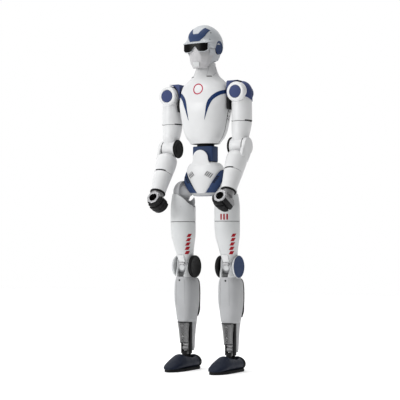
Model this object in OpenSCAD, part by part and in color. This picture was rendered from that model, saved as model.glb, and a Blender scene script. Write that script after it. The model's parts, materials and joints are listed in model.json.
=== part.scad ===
// Full-size humanoid robot: shells, frames and joints, standing with its forearms held forward.
// X is the robot's left, -Y is its front and +Z is up. The origin is on the floor under its middle.

/* [Legs] */
// Distance from the middle plane to each leg's centre
leg_x = 124; // [124:1:128]
// Radius of the round thigh at its turning seam
thigh_r = 62; // [60:1:62]
// Height of the thigh's turning seam
thigh_seam_z = 727; // [725:1:730]
// Radius of the ball that the hip turns on
hip_ball_r = 54; // [50:1:55]
// Radius of the round knee covers
knee_disc_r = 55; // [50:1:55]

/* [Body] */
// Half width of the chest where it is widest
chest_half_w = 130; // [127:1:130]
// Half depth of the chest at its back
chest_back = 105; // [98:1:106]
// Wall of the white shells
wall = 3; // [2.5:0.5:3.5]
// Radius of the turning ring at the waist
waist_ring_r = 43; // [40:1:43]

/* [Arms] */
// Distance from the middle plane to the shoulder's ring
arm_x = 194; // [194:1:196]
// Radius of the upper arm's tube
arm_r = 49.5; // [47:0.5:49.5]
// Radius of the blue disc on the front of the shoulder
shoulder_disc_r = 30.5; // [28:0.5:34]
// Radius of the hole through the closed hand
grip_r = 20; // [18:0.5:21]

/* [Head] */
// Half width of the helmet
helmet_half_w = 82; // [80:1:84]
// Half length of the helmet
helmet_half_l = 102; // [99:1:104]
// Height of the top of the helmet
helmet_top_z = 1691; // [1685:1:1695]

/* [Hidden] */

$fn = 64;

// The spine stands this far behind the middle of the whole robot.
stance_y = 40.5;

white = [0.87, 0.88, 0.88];
light_grey = [0.72, 0.73, 0.74];
mid_grey = [0.45, 0.46, 0.48];
black = [0.07, 0.07, 0.08];
slate_blue = [0.29, 0.33, 0.52];
deep_blue = [0.22, 0.28, 0.42];
navy = [0.08, 0.18, 0.35];
red = [0.62, 0.08, 0.15];

// Gap between pieces that turn on one another, and between fixed pieces
run_gap = 0.6;
fit_gap = 0.5;

// ---------------------------------------------------------------- sections and shells

// A section row is [height, centre x, centre y, half width, front depth, back depth, squareness].
function signed_power(v, p) = sign(v) * pow(abs(v), p);
function row_point(r, t, inset) = [
    r[1] + (r[3] - inset) * signed_power(cos(t), 2 / r[6]),
    r[2] + ((sin(t) < 0 ? r[4] : r[5]) - inset) * signed_power(sin(t), 2 / r[6]),
    r[0]
];

// Smooth rows between the given rows, with `steps` stretches to each interval
function curve_mix(a, b, c, d, t) =
    0.5 * (2 * b + (c - a) * t + (2 * a - 5 * b + 4 * c - d) * t * t
        + (3 * b - a - 3 * c + d) * t * t * t);
function smooth_rows(rows, steps) = let (last = len(rows) - 1) [
    for (i = [0 : last - 1]) for (s = [0 : steps - 1])
        curve_mix(rows[max(i - 1, 0)], rows[i], rows[i + 1], rows[min(i + 2, last)], s / steps),
    rows[last]
];

// Angle on a row's front quarter where the section is x from its centre
function side_angle(r, x) = acos(pow(min(1, max(0, x / r[3])), r[6] / 2));

function strip(a, b, k, flip) = [
    for (i = [0 : k - 1]) each flip
        ? [[a + i, b + i + 1, a + i + 1], [a + i, b + i, b + i + 1]]
        : [[a + i, a + i + 1, b + i + 1], [a + i, b + i + 1, b + i]]
];

// A curved panel with a wall, between angle span[0] and span[1] of each row
module panel(rows, spans, k, thick, lift = 0) {
    m = len(rows);
    n = k + 1;
    outer = [for (j = [0 : m - 1]) for (i = [0 : k])
        row_point(rows[j], spans[j][0] + (spans[j][1] - spans[j][0]) * i / k, -lift)];
    inner = [for (j = [0 : m - 1]) for (i = [0 : k])
        row_point(rows[j], spans[j][0] + (spans[j][1] - spans[j][0]) * i / k, thick - lift)];
    off = m * n;
    faces = concat(
        [for (j = [0 : m - 2]) each strip(j * n, (j + 1) * n, k, true)],
        [for (j = [0 : m - 2]) each strip(off + j * n, off + (j + 1) * n, k, false)],
        strip(0, off, k, false),
        strip((m - 1) * n, off + (m - 1) * n, k, true),
        [for (j = [0 : m - 2]) each [
            [j * n, off + j * n, (j + 1) * n], [(j + 1) * n, off + j * n, off + (j + 1) * n],
            [j * n + k, (j + 1) * n + k, off + j * n + k],
            [(j + 1) * n + k, off + (j + 1) * n + k, off + j * n + k]
        ]]
    );
    polyhedron(concat(outer, inner), faces, convexity = 6);
}

// The same panel with one span for all of its rows
module even_panel(rows, from, to, k, thick, lift = 0) {
    panel(rows, [for (r = rows) [from, to]], k, thick, lift);
}

// A closed body through the rows, with flat ends
module loft(rows, k) {
    m = len(rows);
    points = [for (r = rows) for (i = [0 : k - 1]) row_point(r, 360 * i / k, 0)];
    faces = concat(
        [for (j = [0 : m - 2]) for (i = [0 : k - 1]) each [
            [j * k + i, (j + 1) * k + (i + 1) % k, j * k + (i + 1) % k],
            [j * k + i, (j + 1) * k + i, (j + 1) * k + (i + 1) % k]
        ]],
        [[for (i = [0 : k - 1]) i]],
        [[for (i = [k - 1 : -1 : 0]) (m - 1) * k + i]]
    );
    polyhedron(points, faces, convexity = 4);
}

// A dome with a wall: rows up to a small flat top, with the inside shrunk towards `middle`
module dome(rows, k, thick, middle) {
    m = len(rows);
    outer = [for (r = rows) for (i = [0 : k - 1]) row_point(r, 360 * i / k, 0)];
    inner = [for (p = outer) let (d = p - middle) p - d * thick / norm(d)];
    off = m * k;
    faces = concat(
        [for (j = [0 : m - 2]) for (i = [0 : k - 1]) let (n = (i + 1) % k) each [
            [j * k + i, (j + 1) * k + n, j * k + n],
            [j * k + i, (j + 1) * k + i, (j + 1) * k + n],
            [off + j * k + i, off + j * k + n, off + (j + 1) * k + n],
            [off + j * k + i, off + (j + 1) * k + n, off + (j + 1) * k + i]
        ]],
        [[for (i = [k - 1 : -1 : 0]) (m - 1) * k + i]],
        [[for (i = [0 : k - 1]) off + (m - 1) * k + i]],
        [for (i = [0 : k - 1]) let (n = (i + 1) % k) each [
            [i, n, off + n], [i, off + n, off + i]
        ]]
    );
    polyhedron(concat(outer, inner), faces, convexity = 4);
}

// ---------------------------------------------------------------- placing

// Everything is drawn with the spine on the Z axis and then moved so that the robot is centred.
module stance() {
    translate([0, stance_y, 0]) children();
}

module right_side() {
    mirror([1, 0, 0]) children();
}

module at_leg() {
    stance() translate([leg_x, 0, 0]) children();
}

// Cylinders along X and along Y, between two stations
module x_rod(x0, x1, r, y, z) {
    translate([x0, y, z]) rotate([0, 90, 0]) cylinder(r = r, h = x1 - x0);
}

module y_rod(y0, y1, r, x, z) {
    translate([x, y1, z]) rotate([90, 0, 0]) cylinder(r = r, h = y1 - y0);
}

// ---------------------------------------------------------------- head

head_mid_z = 1592;
head_y = -5;
head_sides = 40;
// The dome follows an ellipse from the brow to its top.
dome_rows = [for (a = [0, 10, 22, 35, 48, 60, 72, 82, 88])
    [head_mid_z + (helmet_top_z - head_mid_z) * sin(a), 0, head_y, helmet_half_w * cos(a),
        helmet_half_l * cos(a), helmet_half_l * cos(a), 2.2]];
// The jaw narrows below the brow, and the back of the helmet with it.
jaw_rows = smooth_rows([
    [1472, 0, 0, 27, 82, 30, 2.8],
    [1500, 0, 0, 42, 91, 44, 2.7],
    [1530, 0, -2, 62, 96, 66, 2.5],
    [1560, 0, -4, 76, 98, 90, 2.4],
    [1591, 0, head_y, 81, 101, 101, 2.2]
], 3);
helmet_low_z = 1514;

module helmet_shell() {
    color(white) stance() dome(dome_rows, head_sides, wall, [0, 0, 1570]);
}

module jaw_cover() {
    rows = [for (r = jaw_rows) if (r[0] >= helmet_low_z && r[0] < head_mid_z - 0.8) r];
    color(white) stance() even_panel(rows, -38, 218, 30, wall);
}

module face_mask() {
    rows = [for (r = jaw_rows) if (r[0] < head_mid_z - 0.8) r];
    color(light_grey) stance() even_panel(rows, 220.5, 319.5, 20, wall);
}

// The visor wraps the face in front of the mask.
module visor() {
    rows = smooth_rows([
        [1547, 0, -8, 66, 98, 98, 3.4],
        [1568, 0, -8, 71, 103, 103, 3.2],
        [1587, 0, -8, 73, 104, 104, 3.2]
    ], 2);
    color(black) stance() even_panel(rows, 214, 326, 24, 4);
}

// The blue discs over the ears and the band over the forehead
module helmet_trim() {
    rows = [for (a = [14 : 6 : 56])
        [head_mid_z + (helmet_top_z - head_mid_z + 1) * sin(a), 0, head_y, (helmet_half_w + 1) * cos(a),
            (helmet_half_l + 1) * cos(a), (helmet_half_l + 1) * cos(a), 2.2]];
    color(deep_blue) stance() {
        even_panel(rows, 255, 285, 8, 2.2, 2.8);
        for (side = [0, 1]) mirror([side, 0, 0]) x_rod(83.5, 89, 31, -2, 1570);
    }
}

head_pitch_z = 1508;
module head_frame() {
    color(mid_grey) stance() {
        x_rod(-26, 26, 20, 8, head_pitch_z + 8);
        translate([-24, -30, head_pitch_z + 8]) cube([48, 76, 90]);
        translate([0, -78, 1566]) rotate([-90, 0, 0]) cylinder(r = 11, h = 50);
    }
}

// ---------------------------------------------------------------- neck and chest

neck_y = 6;
neck_top_z = 1494;
neck_low_z = 1446;
neck_r = 43.5;
// The column that turns inside the chest's collar
module neck_shell() {
    color(white) stance() translate([0, neck_y, neck_low_z]) difference() {
        cylinder(r = neck_r, h = neck_top_z - neck_low_z);
        translate([0, 0, -1]) cylinder(r = neck_r - 9, h = neck_top_z - neck_low_z + 2);
    }
}

chest_outline = [
    [1488, 0, 6, 49, 49, 49, 2.0],
    [1465, 0, 6, 55, 55, 55, 2.0],
    [1440, 0, 6, 67, 65, 65, 2.0],
    [1418, 0, 6, 91, 73, 74, 2.1],
    [1392, 0, 4, 117, 76, 84, 2.4],
    [1360, 0, 0, 127, 76, 94, 2.6],
    [1300, 0, 0, chest_half_w, 94, chest_back, 2.6],
    [1240, 0, 0, 121, 95, 99, 2.5],
    [1172, 0, 0, 108, 88, 86, 2.5],
    [1136, 0, 0, 93, 78, 72, 2.5],
    [1106, 0, 0, 72, 60, 52, 2.5]
];
function reversed(list) = [for (i = [len(list) - 1 : -1 : 0]) list[i]];
chest_up = reversed(smooth_rows(chest_outline, 2));
chest_fine = reversed(smooth_rows(chest_outline, 8));
shoulder_z = 1349;
shoulder_y = 19;
shoulder_hub_r = 38;

module shoulder_opening() {
    x_rod(-160, 160, shoulder_hub_r + 1.5, shoulder_y, shoulder_z);
}

module chest_shell() {
    color(white) stance() difference() {
        even_panel(chest_up, 180.4, 359.6, 26, wall);
        shoulder_opening();
    }
}

module back_shell() {
    color(white) stance() difference() {
        even_panel(chest_up, 0.4, 179.6, 22, wall);
        shoulder_opening();
    }
}

// Two curved bands that start at the shoulders and taper down the chest
band_top_z = 1352;
band_low_z = 1232;
function band_x(z) = 48 + 76 * pow(max(0, (z - band_low_z) / (band_top_z - band_low_z)), 4);
function band_w(z) = 3 + 14 * max(0, (z - band_low_z) / (band_top_z - band_low_z));
trim_lift = 2.8;
trim_t = 1.2;

// The ring on the chest follows the surface: its points are set by x and z.
function row_at(rows, z) = let (
    i = max([for (j = [0 : len(rows) - 2]) if (rows[j][0] <= z) j]),
    t = (z - rows[i][0]) / (rows[i + 1][0] - rows[i][0])
) rows[i] * (1 - t) + rows[i + 1] * t;
function front_y(rows, x, z) = let (r = row_at(rows, z))
    r[2] - r[4] * pow(1 - pow(abs(x) / r[3], r[6]), 1 / r[6]);

chest_ring_z = 1367;
chest_ring_r = 25;
chest_ring_w = 4;
module chest_ring(sides) {
    points = [for (ring = [[0, trim_lift], [chest_ring_w, trim_lift], [chest_ring_w, trim_lift - trim_t],
            [0, trim_lift - trim_t]])
        for (i = [0 : sides - 1])
            let (x = (chest_ring_r - ring[0]) * cos(360 * i / sides),
                z = chest_ring_z + (chest_ring_r - ring[0]) * sin(360 * i / sides))
            [x, front_y(chest_fine, x, z) - ring[1], z]];
    faces = [for (q = [0 : 3]) for (i = [0 : sides - 1])
        let (a = q * sides, b = ((q + 1) % 4) * sides, n = (i + 1) % sides)
        each [[a + i, b + i, b + n], [a + i, b + n, a + n]]];
    polyhedron(points, faces, convexity = 4);
}

module chest_trim() {
    rows = [for (r = chest_fine) if (r[0] >= band_low_z && r[0] <= band_top_z + 8) r];
    color(navy) stance() for (side = [0, 1]) mirror([side, 0, 0]) {
        panel(rows, [for (r = rows) [
            360 - side_angle(r, min(r[3] - 18, band_x(r[0]))),
            360 - side_angle(r, min(r[3] - 10, band_x(r[0]) + band_w(r[0])))
        ]], 4, trim_t, trim_lift);
    }
    color(red) stance() chest_ring(40);
}

waist_y = 0;
module torso_frame() {
    color(mid_grey) stance() {
        translate([-30, 22, 1120]) cube([60, 30, 280]);
        translate([0, waist_y, 1105]) cylinder(r = 46, h = 16);
        x_rod(-130, 130, shoulder_hub_r, shoulder_y, shoulder_z);
        translate([0, neck_y, 1380]) cylinder(r = 32, h = 64);
    }
}

module battery_pack() {
    color(black) stance() translate([-62, -60, 1140]) cube([124, 80, 150]);
}

module waist_ring() {
    color(black) stance() translate([0, waist_y, 1095.5]) cylinder(r = waist_ring_r, h = 9);
}

module waist_block() {
    color(deep_blue) stance() translate([0, 0, 1018.5]) linear_extrude(76)
        polygon([[-56, -30], [-46, -37], [46, -37], [56, -30], [56, 24], [46, 32], [-46, 32], [-56, 24]]);
}

// ---------------------------------------------------------------- pelvis

pelvis_rows = smooth_rows([
    [853, 0, 0, 56, 52, 38, 2.4],
    [868, 0, 0, 79, 60, 46, 2.5],
    [890, 0, 0, 95, 67, 52, 2.6],
    [920, 0, 0, 110, 72, 56, 2.6],
    [950, 0, 0, 108, 69, 55, 2.6],
    [980, 0, 0, 98, 62, 49, 2.6],
    [1000, 0, 0, 87, 57, 44, 2.7],
    [1014, 0, 0, 68, 53, 39, 2.8]
], 2);
hip_z = 873;
hip_y = -8;
shield_low_z = 872;
side_top_z = 979;
rear_low_z = 982;

// Half width of the white shield at a height
function shield_x(z) = 98 * pow((z - 862) / (side_top_z - 862), 0.52);

module hip_opening() {
    x_rod(-125, 125, 40, hip_y, hip_z);
}

module pelvis_shield() {
    rows = [for (r = pelvis_rows) if (r[0] >= shield_low_z) r];
    color(white) stance() {
        panel(rows, [for (r = rows) let (a = side_angle(r, max(shield_x(min(r[0], side_top_z)), 12)))
            [180.6 + a, 359.4 - a]], 28, wall);
        hull() {
            y_rod(-58, -53, 47, 0, 1027);
            translate([-47, -58, 1004]) cube([94, 5, 6]);
        }
    }
}

module pelvis_rear() {
    rows = [for (r = pelvis_rows) if (r[0] >= rear_low_z - 2) r];
    color(white) stance() even_panel(rows, 0.6, 179.4, 26, wall);
}

module pelvis_side_covers() {
    rows = [for (r = pelvis_rows) if (r[0] < side_top_z) r];
    color(deep_blue) stance() difference() {
        for (side = [0, 1]) mirror([side, 0, 0])
            panel(rows, [for (r = rows)
                [r[0] < shield_low_z ? -89.5 : 0.6 - side_angle(r, max(shield_x(r[0]) + 1, 12)), 89.5]],
                20, wall);
        hip_opening();
    }
}

module pelvis_frame() {
    color(mid_grey) stance() {
        x_rod(-73.5, 73.5, 14, hip_y, hip_z);
        translate([-36, -36, 858]) cube([72, 60, 60]);
        translate([-70, -40, 906]) cube([140, 66, 88]);
        translate([-46, -30, 990]) cube([92, 56, 28.5]);
    }
}

// ---------------------------------------------------------------- arms

yoke_x0 = 131.5;
yoke_back = 58;
roll_r = 57.8;
tube_x = 197;
tube_y = 8;
arm_seam_z = 1208.6;
elbow_y = -10;
elbow_z = 1088;
elbow_r = 42;
forearm_tilt = 28;
forearm_seam = 146;
wrist_at = 238;

// Moves children from the elbow's own frame, whose -Z runs down the forearm, to their place
module at_elbow() {
    stance() translate([tube_x, elbow_y, elbow_z]) rotate([-forearm_tilt, 0, 0]) children();
}

// The blue bracket between the chest and the shoulder's ring
module shoulder_yoke() {
    color(slate_blue) stance() {
        difference() {
            union() {
                translate([yoke_x0, -16, shoulder_z]) cube([arm_x - yoke_x0, yoke_back + 16, 57]);
                translate([yoke_x0, -16, 1304]) cube([11, yoke_back + 16, 46]);
            }
            y_rod(-30, yoke_back + 10, roll_r, arm_x, shoulder_z);
        }
        translate([yoke_x0, yoke_back, 1314]) cube([arm_x - yoke_x0, 7, 80]);
        y_rod(yoke_back, yoke_back + 7, 38, arm_x, shoulder_z);
    }
}

// The blue cover over the top and the outer side of the shoulder
module shoulder_cover() {
    color(slate_blue) stance() difference() {
        union() {
            y_rod(-16, yoke_back - 1, roll_r - 0.6, arm_x, shoulder_z);
            translate([arm_x, -16, 1302]) cube([roll_r - 0.6, yoke_back + 15, 48]);
        }
        y_rod(-30, yoke_back + 10, 51.2, arm_x, shoulder_z);
        translate([arm_x - 80, -30, 1260]) cube([80, 120, 90]);
        translate([arm_x - 10, -30, 1260]) cube([63.2, 120, 90]);
    }
}

module shoulder_disc() {
    color(slate_blue) stance() y_rod(-45, -42.4, shoulder_disc_r, arm_x, shoulder_z);
}

module upper_arm() {
    color(white) stance() {
        y_rod(-42, yoke_back - 1, 46, arm_x, shoulder_z);
        hull() {
            translate([tube_x, tube_y, 1272]) cylinder(r = arm_r - 0.4, h = 24, $fn = 48);
            y_rod(-38, 46, 44, arm_x, 1337, $fn = 48);
        }
        translate([tube_x, tube_y, arm_seam_z + run_gap]) cylinder(r = arm_r, h = 1276 - arm_seam_z - run_gap);
    }
}

module elbow_housing() {
    color(white) stance() {
        translate([tube_x, tube_y, arm_seam_z - 22]) cylinder(r = arm_r - 0.5, h = 22 - run_gap);
        difference() {
            hull() {
                translate([tube_x, tube_y, arm_seam_z - 23]) cylinder(r = arm_r - 2, h = 2, $fn = 48);
                x_rod(tube_x - 36, tube_x + 26, elbow_r - 6, elbow_y + 2, elbow_z + 12, $fn = 48);
            }
            x_rod(tube_x + 27.2, tube_x + 60, elbow_r + 1.5, elbow_y, elbow_z);
            x_rod(tube_x - 60, tube_x - 40.2, elbow_r + 4.5, elbow_y, elbow_z);
        }
        x_rod(tube_x - 40, tube_x + 27, elbow_r, elbow_y, elbow_z);
    }
}

module elbow_disc() {
    color(black) stance() x_rod(tube_x - 50, tube_x - 40.4, 45, elbow_y, elbow_z);
}

module forearm_upper() {
    color(white) at_elbow() {
        rotate_extrude() polygon([
            [0, -forearm_seam + run_gap], [46.3, -forearm_seam + run_gap], [50.5, -92], [50.5, -66],
            [44, -49], [0, -49]
        ]);
        difference() {
            x_rod(27.8, 48, elbow_r, 0, 0);
            translate([20, -60, -140]) cube([40, 120, 90]);
        }
        translate([27.8, -22, -60]) cube([14, 44, 40]);
    }
}

module forearm_lower() {
    color(white) at_elbow() rotate_extrude() polygon([
        [0, -wrist_at], [36.5, -wrist_at], [46, -forearm_seam - run_gap], [0, -forearm_seam - run_gap]
    ]);
    color(black) at_elbow() translate([0, 0, -wrist_at - 8]) cylinder(r = 38, h = 8.5);
}

hand_x = -12;
hand_z = -292;
hand_front = -46;
module palm() {
    color(light_grey) at_elbow() difference() {
        union() {
            translate([hand_x, hand_front + 20, hand_z]) rotate([90, 22.5, 0]) cylinder(r = 40, h = 20, $fn = 8);
            translate([hand_x + 4, hand_front + 12, hand_z - 34]) cube([38, 88, 80]);
            translate([0, 0, -wrist_at - 30]) cylinder(r = 30, h = 21.5);
        }
        y_rod(hand_front - 10, 80, grip_r, hand_x, hand_z);
        translate([hand_x, hand_front + 20.6, hand_z - 60]) cube([12, 90, 60]);
    }
}

// Four fingers curled round the grip hole, from the first finger to the little one
finger_r = [38, 37, 35, 32];
module fingers() {
    color(black) at_elbow() difference() {
        for (i = [0 : 3])
            y_rod(hand_front + 21 + 18 * i, hand_front + 38.2 + 18 * i, finger_r[i], hand_x, hand_z);
        y_rod(hand_front, 80, grip_r, hand_x, hand_z);
        translate([hand_x - 60, hand_front, hand_z + 18]) cube([120, 140, 60]);
        translate([hand_x + 3, hand_front, hand_z - 60]) cube([60, 140, 120]);
        translate([hand_x - 2, hand_front, hand_z]) cube([60, 140, 120]);
    }
    color(black) at_elbow() translate([hand_x - 3, hand_front + 21.5, hand_z - 33]) cube([8, 70, 12]);
}

// ---------------------------------------------------------------- legs

knee_y = 22;
knee_z = 508;
seam_gap = 1;

// The grey ball that the thigh hangs from, with its shaft into the pelvis. It is one turned shape:
// a shaft, a cone that opens towards the leg, and a ball that is cut flat on its inner side.
hip_cut = 8;
ball_steps = 14;
ball_start = asin(hip_cut / hip_ball_r);
module hip_ball() {
    ball = [for (i = [0 : ball_steps]) let (a = -ball_start + (90 + ball_start) * i / ball_steps)
        [hip_ball_r * cos(a), hip_ball_r * sin(a)]];
    color(light_grey) at_leg() translate([0, hip_y, hip_z]) rotate([0, 90, 0])
        rotate_extrude() polygon(concat([[0, -50], [14, -50], [40, -hip_cut]], ball));
}

module thigh_upper() {
    color(white) at_leg() translate([0, hip_y, 0]) difference() {
        union() {
            rotate_extrude() polygon([
                [0, thigh_seam_z + seam_gap], [thigh_r, thigh_seam_z + seam_gap], [thigh_r, 775],
                [60.5, 800], [56.5, 834], [0, 834]
            ]);
            y_rod(-58.5, -51.5, 33, 4, 842);
            y_rod(20, 56, 42, -3, 822);
        }
        translate([0, 0, hip_z]) sphere(r = hip_ball_r + 1);
        translate([-80, -50, 834]) cube([160, 92, 60]);
    }
}

thigh_rows = smooth_rows([
    [562, 0, 12, 39, 42, 40, 2.4],
    [585, 0, 7, 43, 46, 44, 2.3],
    [613, 0, 2, 49, 52, 50, 2.2],
    [651, 0, -4, 58, 58, 58, 2.1],
    [690, 0, -7, 61.5, 61.5, 61.5, 2],
    [thigh_seam_z - seam_gap, 0, hip_y, thigh_r, thigh_r, thigh_r, 2]
], 2);
knee_hub_r = 37;
module thigh_lower() {
    color(white) at_leg() {
        loft(thigh_rows, 40);
        hull() {
            translate([-20, -27, 560]) cube([40, 70, 3]);
            x_rod(-20, 20, knee_hub_r - 6, knee_y, knee_z + 4, $fn = 48);
        }
        x_rod(-24, 24, knee_hub_r, knee_y, knee_z);
    }
}

module knee_discs() {
    color(deep_blue) at_leg() x_rod(41.4, 50, knee_disc_r, knee_y, knee_z);
    color(black) at_leg() x_rod(-50, -41.4, knee_disc_r, knee_y, knee_z);
}

shin_rows = smooth_rows([
    [235, 0, 36, 39, 55, 44, 2.3],
    [250, 0, 35, 42, 58, 49, 2.4],
    [290, 0, 34, 47, 62, 58, 2.6],
    [340, 0, 33, 52, 67, 64, 2.7],
    [400, 0, 33, 52, 68, 62, 2.8],
    [434, 0, 32, 49, 67, 59, 2.8],
    [452, 0, 30, 41, 66, 54, 2.8],
    [466, 0, 28, 39.5, 64, 48, 2.8]
], 2);
module shin_shell() {
    color(white) at_leg() {
        loft(shin_rows, 40);
        for (side = [-1, 1]) translate([side * 33, 0, 0]) {
            x_rod(-7.8, 7.8, 46, knee_y, knee_z);
            translate([-7, knee_y - 40, 452]) cube([14, 72, 50]);
        }
        translate([-9, 78, 122]) cube([18, 13, 142]);
    }
}

module calf_cover() {
    rows = [for (r = shin_rows) if (r[0] > 250 && r[0] < 462)
        [r[0], r[1], r[2], r[3], r[4], r[5] + 5 + 5 * exp(-pow((r[0] - 298) / 22, 2)), r[6]]];
    color(black) at_leg() even_panel(rows, 72, 108, 8, 4.2);
}

ankle_y = 25;
ankle_z = 108;
roll_z = 84;
module ankle_frame() {
    color(black) at_leg() for (side = [0, 1]) mirror([side, 0, 0])
        translate([17.5, ankle_y - 10, ankle_z - 13]) cube([9, 22, 235 - ankle_z + 13 - fit_gap]);
}

module ankle_cover() {
    color(mid_grey) at_leg() hull() {
        translate([-19, -10, 230]) cube([38, 20, 4]);
        translate([-14, -4, 142]) cube([28, 16, 4]);
    }
}

module ankle_link() {
    color(light_grey) at_leg() {
        x_rod(-16.8, 16.8, 12, ankle_y, ankle_z);
        y_rod(ankle_y - 16, ankle_y + 16, 10, 0, roll_z);
        translate([-9, ankle_y - 9, roll_z]) cube([18, 18, 18]);
    }
}

// The shoe's rows run from the heel to the toe: the height of a row's point is its place along Y.
shoe_front = 155;
shoe_rows = smooth_rows([
    [-123, 0, 48, 22, 30, 20, 2.4],
    [-105, 0, 48, 38, 33, 33, 2.5],
    [-60, 0, 46, 44, 31, 38, 2.6],
    [-5, 0, 44, 45, 29, 40, 2.5],
    [40, 0, 38, 47, 23, 34, 2.4],
    [90, 0, 30, 46, 15, 22, 2.3],
    [130, 0, 23, 32, 8, 11, 2.2],
    [shoe_front - 2, 0, 19, 12, 4, 5, 2.2]
], 2);
sole_t = 14;
module shoe() {
    color(navy) at_leg() difference() {
        rotate([90, 0, 0]) loft(shoe_rows, 32);
        translate([-60, -200, -1]) cube([120, 360, sole_t + 1 + 0.4]);
        translate([0, ankle_y, 34]) cylinder(r = 33, h = 80);
    }
    color(mid_grey) at_leg() for (side = [0, 1])
        translate([-13, side == 0 ? ankle_y - 24 : ankle_y + 17, 30]) cube([26, 7, 64]);
}

module sole() {
    color(black) at_leg() linear_extrude(sole_t) hull() {
        translate([0, 84]) circle(r = 40);
        translate([0, -60]) circle(r = 47);
        translate([0, -shoe_front + 14]) circle(r = 14);
    }
}

// ---------------------------------------------------------------- the assembly

helmet_shell();
jaw_cover();
face_mask();
visor();
helmet_trim();
head_frame();
neck_shell();
chest_shell();
back_shell();
chest_trim();
torso_frame();
battery_pack();
waist_ring();
waist_block();
pelvis_shield();
pelvis_rear();
pelvis_side_covers();
pelvis_frame();
shoulder_yoke();  // shoulder_yoke_left
shoulder_cover();  // shoulder_cover_left
shoulder_disc();  // shoulder_disc_left
upper_arm();  // upper_arm_left
elbow_housing();  // elbow_housing_left
elbow_disc();  // elbow_disc_left
forearm_upper();  // forearm_upper_left
forearm_lower();  // forearm_lower_left
palm();  // palm_left
fingers();  // fingers_left
hip_ball();  // hip_ball_left
thigh_upper();  // thigh_upper_left
thigh_lower();  // thigh_lower_left
knee_discs();  // knee_discs_left
shin_shell();  // shin_shell_left
calf_cover();  // calf_cover_left
ankle_cover();  // ankle_cover_left
ankle_frame();  // ankle_frame_left
ankle_link();  // ankle_link_left
shoe();  // shoe_left
sole();  // sole_left
right_side() shoulder_yoke();  // shoulder_yoke_right
right_side() shoulder_cover();  // shoulder_cover_right
right_side() shoulder_disc();  // shoulder_disc_right
right_side() upper_arm();  // upper_arm_right
right_side() elbow_housing();  // elbow_housing_right
right_side() elbow_disc();  // elbow_disc_right
right_side() forearm_upper();  // forearm_upper_right
right_side() forearm_lower();  // forearm_lower_right
right_side() palm();  // palm_right
right_side() fingers();  // fingers_right
right_side() hip_ball();  // hip_ball_right
right_side() thigh_upper();  // thigh_upper_right
right_side() thigh_lower();  // thigh_lower_right
right_side() knee_discs();  // knee_discs_right
right_side() shin_shell();  // shin_shell_right
right_side() calf_cover();  // calf_cover_right
right_side() ankle_cover();  // ankle_cover_right
right_side() ankle_frame();  // ankle_frame_right
right_side() ankle_link();  // ankle_link_right
right_side() shoe();  // shoe_right
right_side() sole();  // sole_right
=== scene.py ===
"""Looks of a full-size humanoid robot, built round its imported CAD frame.

Shapes are written in millimetres from the robot's spine on the floor: +X is its left, -Y its front.
Limbs are written once, as the left one, and mirrored for the right.
"""
import json
import math
from functools import partial

import bmesh
import bpy
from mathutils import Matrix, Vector


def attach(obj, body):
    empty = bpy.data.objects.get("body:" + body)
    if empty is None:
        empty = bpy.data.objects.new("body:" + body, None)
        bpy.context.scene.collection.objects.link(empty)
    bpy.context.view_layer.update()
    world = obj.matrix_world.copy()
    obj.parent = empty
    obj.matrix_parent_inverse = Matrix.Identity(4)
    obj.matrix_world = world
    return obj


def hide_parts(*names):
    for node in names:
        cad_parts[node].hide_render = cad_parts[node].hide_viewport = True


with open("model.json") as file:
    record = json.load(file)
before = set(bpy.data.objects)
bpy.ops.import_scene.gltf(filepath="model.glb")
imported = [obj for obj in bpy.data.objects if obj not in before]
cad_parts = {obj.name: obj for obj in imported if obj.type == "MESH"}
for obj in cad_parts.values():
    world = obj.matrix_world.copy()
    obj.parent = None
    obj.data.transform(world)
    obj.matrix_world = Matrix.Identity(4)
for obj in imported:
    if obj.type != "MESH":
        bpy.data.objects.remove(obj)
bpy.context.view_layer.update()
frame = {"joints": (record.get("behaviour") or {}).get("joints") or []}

MM = 0.001
JOINT = {j["name"]: Vector(j["pos_m"]) for j in frame["joints"]}
SPINE_Y = JOINT["waist_yaw"].y


def local(joint):
    """A joint's place in millimetres from the spine."""
    p = JOINT[joint]
    return p.x / MM, (p.y - SPINE_Y) / MM, p.z / MM


# -------------------- finishes

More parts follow.
